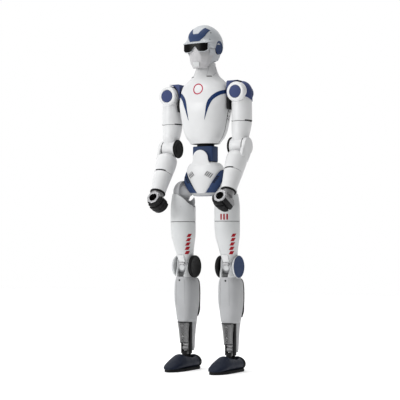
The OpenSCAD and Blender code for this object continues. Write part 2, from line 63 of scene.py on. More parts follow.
def make_finish(name, colour, rough, *, metallic=0.0, coat=0.0, grain=900, bump=0.12, vary=0.06,
                wear=0.25, wear_colour=None, streak=(1, 1, 1), specular=0.4):
    """A moulded or metal surface: cloudy colour, uneven roughness, fine grain and rubbed edges."""
    m = bpy.data.materials.new(name)
    m.use_nodes = True
    nodes, links = m.node_tree.nodes, m.node_tree.links
    shader = nodes["Principled BSDF"]
    shader.inputs["Metallic"].default_value = metallic
    shader.inputs["Coat Weight"].default_value = coat
    shader.inputs["Coat Roughness"].default_value = 0.12
    shader.inputs["Specular IOR Level"].default_value = specular
    place = nodes.new("ShaderNodeTexCoord")
    stretch = nodes.new("ShaderNodeMapping")
    stretch.inputs["Scale"].default_value = streak
    links.new(place.outputs["Object"], stretch.inputs["Vector"])

    def noise(scale, detail):
        n = nodes.new("ShaderNodeTexNoise")
        n.inputs["Scale"].default_value = scale
        n.inputs["Detail"].default_value = detail
        links.new(stretch.outputs["Vector"], n.inputs["Vector"])
        return n.outputs["Fac"]

    def spread(source, low, high, src=(0.3, 0.7)):
        r = nodes.new("ShaderNodeMapRange")
        for k, v in zip(("From Min", "From Max", "To Min", "To Max"), (*src, low, high)):
            r.inputs[k].default_value = v
        links.new(source, r.inputs["Value"])
        return r.outputs["Result"]

    def mix(a, b, amount):
        n = nodes.new("ShaderNodeMix")
        n.data_type = "RGBA"
        for socket, v in ((n.inputs["A"], a), (n.inputs["B"], b)):
            if isinstance(v, tuple):
                socket.default_value = (*v, 1)
            else:
                links.new(v, socket)
        links.new(amount, n.inputs["Factor"])
        return n.outputs["Result"]

    shade = tuple(c * (1 - vary) for c in colour)
    light = tuple(min(1, c * (1 + vary * 0.6)) for c in colour)
    clouds = mix(shade, light, spread(noise(9, 3), 0, 1))
    geometry = nodes.new("ShaderNodeNewGeometry")
    rub = spread(geometry.outputs["Pointiness"], 0, wear, (0.52, 0.60))
    worn = wear_colour or tuple(min(1, c * 1.25 + 0.04) for c in colour)
    links.new(mix(clouds, worn, rub), shader.inputs["Base Color"])
    links.new(spread(noise(60, 4), rough * 0.85, min(1, rough * 1.2)), shader.inputs["Roughness"])
    relief = nodes.new("ShaderNodeBump")
    relief.inputs["Strength"].default_value = bump
    relief.inputs["Distance"].default_value = 0.0004
    links.new(noise(grain, 2), relief.inputs["Height"])
    links.new(relief.outputs["Normal"], shader.inputs["Normal"])
    return m


# Each finish: its material and the record's slot it belongs to
FINISH = {
    # One white shell in four copies: white, and pale, face and helmet painted darker as painted shade, for
    # the thighs, knees and chin, the face, and the head.
    "white": (make_finish("shell_white", (0.62, 0.625, 0.63), 0.40, coat=0.12), "white_shell"),
    "pale": (make_finish("shell_pale", (0.54, 0.55, 0.555), 0.42, coat=0.08), "white_shell"),
    "helmet": (make_finish("shell_white_painted_shade_helmet", (0.40, 0.42, 0.44), 0.44, coat=0.05), "white_shell"),
    "face": (make_finish("shell_white_painted_shade_face", (0.45, 0.445, 0.455), 0.46, coat=0.04), "white_shell"),
    "grey": (make_finish("shell_grey", (0.37, 0.375, 0.385), 0.46), "grey_shell"),
    "metal": (make_finish("metal_light", (0.36, 0.36, 0.37), 0.34, metallic=0.7, streak=(1, 1, 8)),
              "light_metal"),
    "hand": (make_finish("metal_hand", (0.20, 0.20, 0.205), 0.42, metallic=0.4), "frame_metal"),
    "mesh": (make_finish("metal_mesh", (0.40, 0.40, 0.405), 0.45, metallic=0.3), "dark_metal"),
    "black": (make_finish("plastic_black", (0.005, 0.005, 0.0055), 0.55, vary=0.2, specular=0.12,
                          wear_colour=(0.03, 0.03, 0.032)), "black_plastic"),
    "slate": (make_finish("paint_slate", (0.036, 0.052, 0.135), 0.50, specular=0.14),
              "slate_blue"),
    "blue": (make_finish("paint_blue", (0.022, 0.042, 0.105), 0.50, specular=0.14),
             "deep_blue"),
    "navy": (make_finish("paint_navy", (0.003, 0.020, 0.085), 0.40, coat=0.05, specular=0.2),
             "navy_trim"),
    "red": (make_finish("paint_red", (0.28, 0.002, 0.010), 0.50, specular=0.2), "navy_trim"),
    "rose": (make_finish("paint_rose", (0.40, 0.010, 0.050), 0.50, specular=0.2), "navy_trim"),
    "visor": (make_finish("visor_black", (0.002, 0.002, 0.002), 0.22, bump=0.01, wear=0.02,
                          specular=0.06), "visor_gloss"),
    "shoe": (make_finish("shoe_navy", (0.007, 0.011, 0.024), 0.50, grain=500, bump=0.25,
                         specular=0.16), "shoe_upper"),
    "sole": (make_finish("sole_rubber", (0.005, 0.005, 0.006), 0.75, grain=400, bump=0.4,
                         specular=0.15), "sole_rubber"),
}


# -------------------- shapes
# A shape is (points, faces), with faces wound so that they look outwards.

def join(*shapes):
    points, faces = [], []
    for p, f in shapes:
        base = len(points)
        points += p
        faces += [tuple(i + base for i in face) for face in f]
    return points, faces


def moved(shape, change):
    return [tuple(change(p)) for p in shape[0]], shape[1]


def grid(rows, closed=False):
    """Quads between rows of points; u runs along a row and v from row to row."""
    n, points = len(rows[0]), [p for r in rows for p in r]
    across = n if closed else n - 1
    faces = [(j * n + i, j * n + (i + 1) % n, (j + 1) * n + (i + 1) % n, (j + 1) * n + i)
             for j in range(len(rows) - 1) for i in range(across)]
    return points, faces


def loft(rings):
    """A closed body through rings that run anticlockwise seen from the last ring's side."""
    points, faces = grid(rings, closed=True)
    n, last = len(rings[0]), (len(rings) - 1) * len(rings[0])
    return points, faces + [tuple(range(n - 1, -1, -1)), tuple(range(last, last + n))]


def cos_sin(degrees):
    return math.cos(math.radians(degrees)), math.sin(math.radians(degrees))


def circle(n):
    return [(math.cos(math.tau * i / n), math.sin(math.tau * i / n)) for i in range(n)]


# Right-handed axes for turned and extruded shapes: across, up, along
AXES = {"x": ((0, 1, 0), (0, 0, 1), (1, 0, 0)), "y": ((0, 0, 1), (1, 0, 0), (0, 1, 0)),
        "z": ((1, 0, 0), (0, 1, 0), (0, 0, 1))}


def on_axes(axes, origin, a, b, c):
    return tuple(origin[i] + axes[0][i] * a + axes[1][i] * b + axes[2][i] * c for i in range(3))


def turned(profile, origin, axis, n=64):
    """A turned body: profile is (radius, height) from one flat end to the other, height growing."""
    axes = AXES[axis] if isinstance(axis, str) else axis
    return loft([[on_axes(axes, origin, r * c, r * s, h) for c, s in circle(n)] for r, h in profile])


def disc(r, h0, h1, origin, axis, edge=2.0, n=64):
    """A turned disc with rounded edges."""
    angles = (0, 0.39, 0.79, 1.18, 1.57)
    radius = lambda a: r - (edge - edge * math.cos(a))
    low = [(radius(a), h0 + edge - edge * math.sin(a)) for a in angles[::-1]]
    high = [(radius(a), h1 - edge + edge * math.sin(a)) for a in angles]
    return turned(low + high, origin, axis, n)


def prism(outline, h0, h1, axis):
    """An anticlockwise outline (across, up) carried along an axis."""
    return loft([[on_axes(AXES[axis], (0, 0, 0), a, b, h) for a, b in outline] for h in (h0, h1)])


def block(lo, hi):
    (x0, y0, z0), (x1, y1, z1) = lo, hi
    return prism([(x0, y0), (x1, y0), (x1, y1), (x0, y1)], z0, z1, "z")


def tube(path, r, n=10):
    """A round bar along a path."""
    rings = []
    for i, p in enumerate(path):
        d = (Vector(path[min(i + 1, len(path) - 1)]) - Vector(path[max(i - 1, 0)])).normalized()
        side = d.cross(Vector((0, 0, 1)))
        side = side.normalized() if side.length > 0.1 else Vector((1, 0, 0))
        up = side.cross(d)
        rings.append([tuple(Vector(p) + side * (r * s) + up * (r * c)) for c, s in circle(n)])
    return loft(rings)


def lerp(table, x):
    """Straight-line value at x in ((x0, value0), ...)."""
    if x <= table[0][0]:
        return table[0][1]
    for (a, va), (b, vb) in zip(table, table[1:]):
        if x <= b:
            return va + (vb - va) * (x - a) / (b - a)
    return table[-1][1]


def curve_mix(a, b, c, d, t):
    return 0.5 * (2 * b + (c - a) * t + (2 * a - 5 * b + 4 * c - d) * t * t
                  + (3 * b - a - 3 * c + d) * t ** 3)


def power(v, p):
    return math.copysign(abs(v) ** p, v)


class Surface:
    """A skin given by rows (height, centre y, half width, front depth, back depth, squareness[, back]).
    Angles are in degrees round it: 0 is +X, 90 the back and 270 the front."""

    def __init__(self, rows, x=0, top=None):
        self.rows = sorted(tuple(r) + ((r[5],) if len(r) == 6 else ()) for r in rows)
        self.x, self.top = x, top

    def row(self, z):
        if self.top and z > self.top[0]:
            return self.top[1](z)
        rows = self.rows
        i = max([k for k in range(len(rows) - 1) if rows[k][0] <= z] or [0])
        a, b, c, d = (rows[min(max(k, 0), len(rows) - 1)] for k in (i - 1, i, i + 1, i + 2))
        t = min(1, max(0, (z - b[0]) / (c[0] - b[0])))
        return [curve_mix(*v, t) for v in zip(a[1:], b[1:], c[1:], d[1:])]

    def point(self, z, angle, lift=0):
        cy, hw, front, back, nf, nb = self.row(z)
        c, s = cos_sin(angle)
        depth, n = (front, nf) if s < 0 else (back, nb)
        return (self.x + (hw + lift) * power(c, 2 / n), cy + (depth + lift) * power(s, 2 / n), z)

    def front_angle(self, z, x):
        """Angle on the front, +X side, where the skin is x from its middle."""
        _, hw, _, _, nf, _ = self.row(z)
        return 360 - math.degrees(math.acos(min(1, max(0, x / hw)) ** (nf / 2)))

    def angle_at_y(self, z, y):
        """Angle on the +X side where the skin is at y."""
        cy, _, front, back, nf, nb = self.row(z)
        depth, n = (front, nf) if y < cy else (back, nb)
        a = math.degrees(math.asin(min(1, abs(y - cy) / depth) ** (n / 2)))
        return -a if y < cy else a

    def normal(self, z, angle):
        p, q = Vector(self.point(z, angle + 0.5)), Vector(self.point(z, angle - 0.5))
        r, s = Vector(self.point(z + 0.5, angle)), Vector(self.point(z - 0.5, angle))
        return (p - q).cross(r - s).normalized()

    def panel(self, span, heights, nu, nv, lift=0, closed=False, ease=lambda v: v):
        """A single skin; span is (from, to) in degrees as numbers or functions of height, and
        heights is (low, high) as numbers or functions of angle."""
        at = lambda f, v: f(v) if callable(f) else f
        rows = []
        for j in range(nv + 1):
            row = []
            for i in range(nu if closed else nu + 1):
                u, v = i / nu, ease(j / nv)
                if callable(heights[0]) or callable(heights[1]):
                    angle = span[0] + (span[1] - span[0]) * u
                    z = at(heights[0], angle) * (1 - v) + at(heights[1], angle) * v
                else:
                    z = heights[0] * (1 - v) + heights[1] * v
                    angle = at(span[0], z) * (1 - u) + at(span[1], z) * u
                row.append(self.point(z, angle, lift))
            rows.append(row)
        return grid(rows, closed)

    def solid(self, low, high, n=56, nv=16, lift=0):
        return loft([[self.point(low + (high - low) * j / nv, 360 * i / n, lift) for i in range(n)]
                     for j in range(nv + 1)])

    def patch(self, z, angle, size, lean=0, lift=0.5, cells=3):
        """A small four-sided mark of size (width, height) on the skin, its top leaning sideways."""
        w, h = size
        side = Vector(self.point(z, angle + 1)) - Vector(self.point(z, angle - 1))
        per_mm = 2 / max(side.length, 0.01)
        rows = []
        for j in range(cells + 1):
            v = j / cells - 0.5
            zz = z + h * v
            rows.append([self.point(zz, angle + per_mm * (w * (i / cells - 0.5) + lean * v), lift)
                         for i in range(cells + 1)])
        return grid(rows)


# -------------------- pieces

SIDES = (("left", 1), ("right", -1))


def make_object(name, shape, mirror=1):
    points, faces = shape
    mesh = bpy.data.meshes.new(name)
    mesh.from_pydata([(mirror * x * MM, SPINE_Y + y * MM, z * MM) for x, y, z in points], [],
                     [tuple(reversed(f)) for f in faces] if mirror < 0 else faces)
    mesh.validate()
    o = bpy.data.objects.new(name, mesh)
    bpy.context.scene.collection.objects.link(o)
    return o


def bake(o):
    """Turns the object's modifiers into its mesh."""
    mesh = bpy.data.meshes.new_from_object(o.evaluated_get(bpy.context.evaluated_depsgraph_get()))
    o.modifiers.clear()
    o.data = mesh


def piece(name, shape, body, finish, nodes=(), wall=0, edge=0.8, cuts=(), side=None, smooth=38,
          strut=0):
    """Makes one visible piece, with its wall, cuts, rounded edges, finish and body."""
    suffix, mirror = ("_" + side[0], side[1]) if side else ("", 1)
    o = make_object(name + suffix, shape, mirror)
    if strut:
        wire = o.modifiers.new("strut", "WIREFRAME")
        wire.thickness = strut * MM
        wire.use_even_offset = False
    if wall:
        solid = o.modifiers.new("wall", "SOLIDIFY")
        solid.thickness, solid.offset = wall * MM, -1
    cutters = [make_object("cutter", c, mirror) for c in cuts]
    for c in cutters:
        cut = o.modifiers.new("cut", "BOOLEAN")
        cut.operation, cut.solver, cut.object = "DIFFERENCE", "EXACT", c
    if edge:
        bevel = o.modifiers.new("edge", "BEVEL")
        bevel.width, bevel.segments = edge * MM, 2
        bevel.limit_method, bevel.angle_limit = "ANGLE", math.radians(42)
    bake(o)
    for c in cutters:
        bpy.data.objects.remove(c)
    o.data.materials.clear()
    o.data.materials.append(FINISH[finish][0])
    o.data.shade_smooth()
    o.data.set_sharp_from_angle(angle=math.radians(smooth))
    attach(o, body + suffix)
    if nodes:
        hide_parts(*[n + suffix for n in nodes])
    return o


# -------------------- head

EAR = (0, -6, 1575)
HELMET_MID, HELMET_TOP = 1592, 1691


def dome(z):
    a = math.asin(min(1, (z - HELMET_MID) / (HELMET_TOP - HELMET_MID)))
    return [-5 - 3 * math.sin(a), 82 * math.cos(a), 102 * math.cos(a), 102 * math.cos(a), 2.2, 2.2]


helmet = Surface([
    (1514, -2, 50, 50, 54, 2.3), (1536, -3, 63, 74, 68, 2.4), (1565, -5, 77, 94, 88, 2.9, 2.3),
    (1579, -5, 81, 101, 95, 3.8, 2.3), (1589, -5, 82, 103, 98, 4.4, 2.2),
    (1596, -5, 81.8, 102, 99.5, 3.6, 2.2), (1605, -5, 81, 101, 100, 2.5, 2.2),
    (1621, -5.5, 78.7, 97.5, 97.5, 2.2),
], top=(1621, dome))


def sine_ease(v):
    """Rows closer together towards a dome's top."""
    return math.sin(v * math.pi / 2)


def from_front(angle):
    return abs((angle - 270 + 180) % 360 - 180)


def helmet_edge(angle):
    return lerp(((40, 1590), (50, 1566), (100, 1565), (126, 1514)), from_front(angle))


# The dome is open at its lower edge and closed by one small face at its top
AROUND = 120
DOME_END = HELMET_MID + (HELMET_TOP - HELMET_MID) * math.sin(math.radians(87))
dome_points, dome_faces = helmet.panel((0, 360), (helmet_edge, DOME_END), AROUND, 40, closed=True,
                                       ease=sine_ease)
crown = tuple(range(len(dome_points) - AROUND, len(dome_points)))
piece("helmet_dome", (dome_points, dome_faces + [crown]), "head", "helmet", ["helmet_shell"], wall=3)
piece("helmet_brow", helmet.panel((229, 311), (1587, 1594), 40, 5, lift=3.4), "head", "helmet",
      wall=6, edge=1.8)
jaw = Surface([(1496, -5, 50, 62, 50, 2.6), (1514, -5, 58, 74, 56, 2.7), (1536, -5, 67, 85, 69, 2.7),
               (1565, -5, 77, 94, 88, 2.9, 2.3)])


def jaw_low(angle):
    return lerp(((56, 1487), (76, 1502), (95, 1512), (125, 1516)), from_front(angle))


def jaw_high(angle):
    return min(helmet_edge(angle), 1565) - 1.4


for label, span in (("left", (-36, 30)), ("right", (150, 216))):
    piece("jaw_side_" + label, jaw.panel(span, (jaw_low, jaw_high), 24, 12), "head", "helmet",
          ["jaw_cover"], wall=3)
piece("head_core", helmet.solid(1530, 1640, lift=-3.4), "head", "grey", ["head_frame"], edge=0)

# The V over the forehead: one solid foot with a branch to each side. Its edges are given as (way
# along it, x, z), and the faces between the two branches are left out above the foot.
V_INNER = ((0, 1.5, 1597), (0.5, 1.5, 1633), (0.56, 15, 1636), (1, 32.5, 1667))
V_OUTER = ((0, 27, 1597), (0.45, 45, 1621), (0.56, 48, 1628), (1, 55, 1655))
v_rows = []
for j in range(33):
    v = j / 32
    inner, outer = ([lerp([(k[0], k[i]) for k in path], v) for i in (1, 2)]
                    for path in (V_INNER, V_OUTER))
    half = []
    for i in range(9):
        x, z = (inner[k] + (outer[k] - inner[k]) * i / 8 for k in (0, 1))
        angle = helmet.front_angle(z, x)
        half.append(Vector(helmet.point(z, angle)) + helmet.normal(z, angle) * 1.5)
    v_rows.append([(-q.x, q.y, q.z) for q in half[::-1]] + [tuple(q) for q in half])
v_points, v_faces = grid(v_rows)
V_ACROSS, V_FOOT_ROWS = 18, 17
v_faces = [f for f in v_faces if f[0] % V_ACROSS != V_ACROSS // 2 - 1 or f[0] < V_FOOT_ROWS * V_ACROSS]
piece("forehead_band", (v_points, v_faces), "head", "blue", ["helmet_trim"], wall=2.4, edge=0.6)


def to_side(shape, mirror):
    """A shape drawn on the left, kept there or mirrored to the right."""
    return ([(mirror * x, y, z) for x, y, z in shape[0]],
            [tuple(reversed(f)) for f in shape[1]] if mirror < 0 else shape[1])


ear_disc = turned([(0.5, 68), (31, 68), (33, 70), (33, 80), (32, 81.8), (30, 82.6), (26.5, 82.6),
                   (25.5, 81.8), (0.5, 82.2)], EAR, "x")
for label, mirror in SIDES:
    piece(f"ear_{label}_gap", to_side(disc(33.4, 60, 76, EAR, "x", 1), mirror), "head", "black", edge=0)
    piece(f"ear_{label}_disc", to_side(ear_disc, mirror), "head", "blue", edge=0)


def studs(surface, places, r=2.4, depth=3, lift=0.5):
    """Small screw heads set into a skin at (height, angle)."""
    shapes = []
    for z, angle in places:
        n = surface.normal(z, angle)
        side = n.cross(Vector((0, 0, 1))).normalized()
        axes = (side, n.cross(side), n)
        shapes.append(turned([(r * 0.5, -depth), (r, -depth), (r, lift - 0.3), (r * 0.8, lift),
                              (r * 0.5, lift), (r * 0.45, lift - 0.8), (r * 0.1, lift - 0.8)],
                             Vector(surface.point(z, angle)), axes, 14))
    return join(*shapes)


temple = [(1642, 328), (1607, 321)]
piece("temple_screws", studs(helmet, temple + [(z, 540 - a) for z, a in temple], 3.2, 3, 0.7), "head",
      "black", edge=0)

# Visor: a glossy lens in a thin pale frame
LENS_HALF = 67
LENS_LOW = ((0, 1573), (5, 1571), (14, 1558), (20, 1551), (30, 1548), (50, 1548), (61, 1551), (67, 1559))


def lens_low(x):
    return lerp(LENS_LOW, abs(x))


def lens_y(x):
    return -108.5 + 11.5 * abs(x / LENS_HALF) ** 2.6


def lens(back, low, high, half):
    """A curved strip this much further back, lower and higher than the lens, out to half its width."""
    xs = [half * (i / 30 - 1) for i in range(61)]
    return grid([[(x, lens_y(min(LENS_HALF, abs(x))) + back + max(0, abs(x) - LENS_HALF) * 2.4,
                   (lens_low(min(abs(x), 66)) - low) * (1 - v) + (1589 + high) * v) for x in xs]
                 for v in (i / 8 for i in range(9))])


piece("visor_lens", lens(0, 0, 0, LENS_HALF), "head", "visor", ["visor"], wall=3, edge=1)
piece("visor_frame", lens(2.8, 3.4, 1.0, 70), "head", "helmet", wall=3, edge=0.8)

# Face: flat planes round a narrow bridge, with a small chin. Each row is (height, y in the middle,
# then x and y of the three corners towards the side).
FACE = [
    (1592, -96, (24, -96), (58, -70), (74, -36)), (1571, -101, (9, -100.5), (56, -66), (72, -36)),
    (1545, -101.5, (21, -99.5), (54, -66), (69, -40)), (1529, -100, (28, -96), (53, -66), (65, -41)),
    (1510, -96, (26, -92), (50, -66), (58, -43)), (1499, -94, (23, -89.5), (47, -66), (54, -45)),
    (1494, -91, (21, -87), (44, -67), (52, -47)), (1483, -90, (19, -85), (36, -68), (45, -52)),
    (1472, -85, (14, -82), (24, -74), (34, -60)),
]


def face_ring(z):
    flat = [(height, middle, *a, *b, *c) for height, middle, a, b, c in sorted(FACE)]
    i = max([k for k in range(len(flat) - 1) if flat[k][0] <= z] or [0])
    t = (z - flat[i][0]) / (flat[i + 1][0] - flat[i][0])
    y0, x1, y1, x2, y2, x3, y3 = [a + (b - a) * t for a, b in zip(flat[i][1:], flat[i + 1][1:])]
    half = [(0, y0), (x1, y1), (x2, y2), (x3, y3)]
    front = []
    for (ax, ay), (bx, by) in zip(half, half[1:]):
        front += [(ax + (bx - ax) * k / 5, ay + (by - ay) * k / 5) for k in range(5)]
    front.append(half[-1])
    left = [(-x, y) for x, y in front[:0:-1]]
    bulge = lerp(((1476, -10), (1506, 2)), z)
    back = [(x3 * (1 - 2 * k / 8), y3 + bulge * math.sin(math.pi * k / 8)) for k in range(1, 8)]
    return [(x, y, z) for x, y in left + front + back]


# Height, half width and y in the middle
CHIN = ((1477, 15, -90.5), (1484, 16, -91.6), (1491, 17, -92.6), (1499, 19, -95.4))
# The chin plate is painted lighter than the face mask round it, as painted light on the chin's step.
piece("chin_plate_painted_light", grid([[(x * w, y + 0.0012 * (x * w) ** 2, z) for x in (-1, -0.5, 0, 0.5, 1)]
                          for z, w, y in CHIN]), "head", "pale", wall=3, edge=0.8)
piece("face_mask", loft([face_ring(1472 + (1592 - 1472) * k / 36) for k in range(37)]), "head",
      "face", ["face_mask"], edge=2.2, smooth=50)

# -------------------- neck and chest

NECK = (0, local("neck_yaw")[1], 0)
nape_cut = prism([(-6, 1510.5), (64, 1485), (64, 1530), (-6, 1530)], -70, 70, "x")
piece("neck_column", turned([(30, 1446), (43.5, 1446), (44, 1486), (46.4, 1492), (46.6, 1503),
                             (45, 1507), (40, 1509.5), (30, 1510)], NECK, "z", 80), "neck", "white",
      ["neck_shell"], edge=0, cuts=[nape_cut])

chest = Surface([
    (1488, 6, 49, 49, 49, 2.0), (1465, 6, 55, 55, 55, 2.0), (1440, 6, 67, 65, 65, 2.0),
    (1418, 6, 91, 73, 74, 2.1), (1392, 4, 117, 76, 84, 2.4), (1360, 0, 127, 76, 94, 2.6),
    (1300, 0, 130, 94, 105, 2.6), (1240, 0, 121, 95, 99, 2.5), (1172, 0, 108, 88, 86, 2.5),
    (1136, 0, 93, 78, 72, 2.5), (1106, 0, 72, 60, 52, 2.5),
])
SHOULDER_Y, SHOULDER_Z = local("shoulder_pitch_left")[1:]
hole = disc(39.5, -170, 170, (0, SHOULDER_Y, SHOULDER_Z), "x", 0.1, 48)
piece("chest_front", chest.panel((180.4, 359.6), (1106, 1488), 64, 64), "torso", "white",
      ["chest_shell"], wall=3, cuts=[hole])
piece("chest_back", chest.panel((0.4, 179.6), (1106, 1488), 56, 56), "torso", "white",
      ["back_shell"], wall=3, cuts=[hole])
piece("chest_core", chest.solid(1107, 1440, lift=-5), "torso", "black",
      ["torso_frame", "battery_pack"], edge=0)

# Navy bands from the shoulders, tapering down the chest
BAND_UPPER = ((44, 1218), (50.5, 1260), (57.5, 1301), (72, 1329), (97, 1351), (125, 1364))
BAND_LOWER = ((45, 1217), (60, 1260), (70.5, 1286), (85, 1314), (108, 1335), (126, 1345))


def along(points, t):
    """A smooth curve through (x, z) points, t from 0 to 1."""
    last = len(points) - 1
    i = min(int(t * last), last - 1)
    four = [points[min(max(k, 0), last)] for k in (i - 1, i, i + 1, i + 2)]
    return [curve_mix(*v, t * last - i) for v in zip(*four)]


def chest_at(x, z, lift):
    angle = chest.front_angle(z, abs(x))
    return chest.point(z, angle if x >= 0 else 540 - angle, lift)


for label, mirror in SIDES:
    rows = []
    for j in range(41):
        (ax, az), (bx, bz) = along(BAND_UPPER, j / 40), along(BAND_LOWER, j / 40)
        row = [chest_at(mirror * (ax + (bx - ax) * i / 6), az + (bz - az) * i / 6, 0.9)
               for i in range(7)]
        rows.append(row if mirror > 0 else row[::-1])
    piece("chest_band_" + label, grid(rows), "torso", "navy", ["chest_trim"], wall=1.6, edge=0.3)

RING_Z, RING_R = 1370, 27
piece("chest_ring", grid([[chest_at((RING_R - w) * c, RING_Z + (RING_R - w) * s, 1.0)
                           for c, s in circle(64)] for w in (0, 1.8, 3.6, 5.4)], closed=True),
      "torso", "rose", wall=1.6, edge=0.3)


def both_sides(surface, marks, size, lean=0, lift=0.4):
    """Marks at (height, angle) on the +X side, and the same on the other."""
    shapes = []
    for z, angle in marks:
        shapes.append(surface.patch(z, angle, size, lean, lift))
        shapes.append(surface.patch(z, 540 - angle, size, -lean, lift))
    return join(*shapes)


piece("chest_vents", both_sides(chest, [(z, a) for z in (1276, 1262, 1238, 1224) for a in (361, 368)],
                                (6, 10), 5), "torso", "black", wall=1.2, edge=0.2)
piece("collar_slots", both_sides(chest, [(1433, chest.front_angle(1433, 47))], (26, 4.4), 0, 0.8),
      "torso", "black", wall=1.6, edge=0.2)
piece("collar_seams", join(*[grid([[chest_at(x + w, z, 0.35) for w in (-0.8, 0.8)]
                                   for z in range(1436, top, 3)])
                             for x, top in ((35, 1482), (-35, 1482), (59, 1456), (-59, 1456))]),
      "torso", "grey", wall=0.8, edge=0)
piece("chest_seams", join(*[chest.panel((a - 0.35, a + 0.35), (1107, 1480), 2, 60, lift=0.2)
                            for a in (0, 180)]), "torso", "black", wall=1, edge=0)

waist = turned([(20, 1095.5), (42, 1095.5), (43, 1096.5), (43, 1098.4), (41.6, 1098.9),
                (41.6, 1100.3), (43, 1100.8), (43, 1103), (42, 1104.5), (20, 1106)], (0, 0, 0), "z", 72)
piece("waist_ring", waist, "torso", "black", ["waist_ring"], edge=0)
WAIST = [(-56, -30), (-46, -37), (46, -37), (56, -30), (56, 24), (46, 32), (-46, 32), (-56, 24)]
piece("waist_block", prism(WAIST, 1018.5, 1094.5, "z"), "pelvis", "blue", ["waist_block"], edge=4)

# -------------------- pelvis

HIP = HIP_X, HIP_Y, HIP_Z = local("hip_pitch_left")
rear = Surface([
    (950, 0, 108, 69, 55, 2.6), (980, 0, 98, 62, 49, 2.6), (1000, 0, 87, 57, 44, 2.7),
    (1012, 0, 72, 53, 40, 2.8), (1017, 0, 58, 47, 34, 2.8),
])
shield = Surface([
    (863, 0, 44, 48, 38, 2.2), (890, 0, 63, 53, 44, 2.2), (914, 0, 75, 58, 50, 2.2),
    (945, 0, 89, 63, 53, 2.2), (980, 0, 96, 62, 49, 2.4), (1000, 0, 87, 58, 44, 2.6),
    (1012, 0, 72, 53, 40, 2.8), (1017, 0, 58, 47, 34, 2.8),
])
cover = Surface([
    (853, 0, 58, 42, 38, 2.6), (868, 0, 80, 47, 44, 2.8), (890, 0, 97, 50, 50, 3), (920, 0, 111, 52, 54, 3),
    (945, 0, 111, 51, 54, 3), (965, 0, 104, 48, 51, 3), (979, 0, 97, 44, 48, 3),
])
# The shield's side edge: height and distance from the middle
SHIELD_X = ((863, 22), (890, 42), (914, 58), (938, 75), (953, 84), (968, 92), (979, 96))


def shield_edge(z):
    return shield.front_angle(z, min(lerp(SHIELD_X, z), shield.row(z)[1]))


def cover_edge(z):
    return cover.front_angle(z, lerp(SHIELD_X, z) + 2)


piece("pelvis_shield", shield.panel((lambda z: 540 - shield_edge(z), shield_edge), (864, 1014), 48, 44,
                                    lift=1.2), "pelvis", "white", ["pelvis_shield"], wall=4, edge=1.4)
piece("pelvis_rear", rear.panel((0.6, 179.4), (980, 1014), 40, 12, lift=1.2), "pelvis", "white",
      ["pelvis_rear"], wall=4, edge=1)
piece("pelvis_deck", shield.solid(984, 1017, nv=10), "pelvis", "white", edge=2)


def tongue_half(z):
    if z > 1033:
        return math.sqrt(max(0.5, 42 ** 2 - (z - 1033) ** 2))
    return 42 + 20 * max(0, (1033 - z) / 33) ** 2


tongue_rows = []
for j in range(31):
    z = 1000 + 75 * math.sin(j / 30 * math.pi / 2)
    w = tongue_half(z)
    across = [w * (i / 12 - 1) for i in range(25)]
    tongue_rows.append([(x, -58.5 + 7 * (x / 60) ** 2, z) for x in across])
piece("pelvis_tongue", grid(tongue_rows), "pelvis", "white", wall=6, edge=1.8)

# Room for the hip balls: radius and distance from the middle
HIP_ROOM = ((2, 66), (18, 72), (44, 116), (60, 120), (60, 140))
hips_cut = join(*[turned(sorted(((r, way * x) for r, x in HIP_ROOM), key=lambda p: p[1]),
                         (0, HIP_Y, HIP_Z), "x", 48) for way in (1, -1)])
for label, span in (("left", (cover_edge, 449.9)), ("right", (90.1, lambda z: 540 - cover_edge(z)))):
    piece("pelvis_cover_" + label, cover.panel(span, (853, 978), 36, 32), "pelvis", "blue",
          ["pelvis_side_covers"], wall=3.5, edge=1, cuts=[hips_cut])
piece("pelvis_core", shield.solid(864, 984, lift=-6), "pelvis", "grey", ["pelvis_frame"], edge=2)
# A raised grey band round the bottom of the pelvis, under the shield: its grey is painted shadow cast by
# the shield.
piece("pelvis_keel_painted_shadow", cover.panel((205, 335), (852, 866), 30, 6, lift=1), "pelvis", "grey",
      wall=5, edge=1.2)
slots = [(954 - 0.5 * dx, shield.front_angle(954, 48 + dx)) for dx in (-12.6, -4.2, 4.2, 12.6)]
piece("shield_slots", both_sides(shield, slots, (4.6, 20), 12, 2.4), "pelvis", "black", wall=2, edge=0.2)
slots = [(z, cover.front_angle(z, lerp(SHIELD_X, z) + 11)) for z in (944, 935, 926, 917)]
piece("cover_slots", both_sides(cover, slots, (14, 5), 0, 1.2), "pelvis", "black", wall=2, edge=0.2)

# -------------------- arms

ARM_X = 194
TUBE = (197, 8, 0)
ELBOW = local("elbow_pitch_left")
ELBOW_AXIS = (0, *ELBOW[1:])
TILT = math.radians(28)


def arc(cx, cz, r, a0, a1, n):
    """Points at angles from +X towards +Z, as (x, z)."""
    turns = (cos_sin(a0 + (a1 - a0) * i / n) for i in range(n + 1))
    return [(cx + r * c, cz + r * s) for c, s in turns]


def side_prism(outline, y0, y1):
    """An outline given as (x, z), anticlockwise seen from the front, carried along Y."""
    return prism([(z, x) for x, z in outline], y0, y1, "y")


def facing(shape):
    """Turns a closed shape's faces outwards."""
    bm = bmesh.new()
    verts = [bm.verts.new(p) for p in shape[0]]
    for f in shape[1]:
        bm.faces.new([verts[i] for i in f])
    bmesh.ops.recalc_face_normals(bm, faces=bm.faces)
    bm.verts.index_update()
    result = ([tuple(v.co) for v in bm.verts], [tuple(v.index for v in f.verts) for f in bm.faces])
    bm.free()
    return result


def forearm(p):
    """From the forearm's own frame, whose -Z runs down it, to its place."""
    x, y, z = p
    return (ELBOW[0] + x, ELBOW[1] + y * math.cos(TILT) + z * math.sin(TILT),
            ELBOW[2] - y * math.sin(TILT) + z * math.cos(TILT))


upper_arm = Surface([
    (1209.6, 8, 49.5, 49.5, 49.5, 2.0), (1260, 8, 49.5, 49.5, 49.5, 2.0),
    (1300, 8, 49, 48.5, 46, 2.1), (1325, 8, 47, 47, 44, 2.2), (1349, 8, 45.8, 46, 42, 2.3),
], x=TUBE[0])
DISC_X = 192


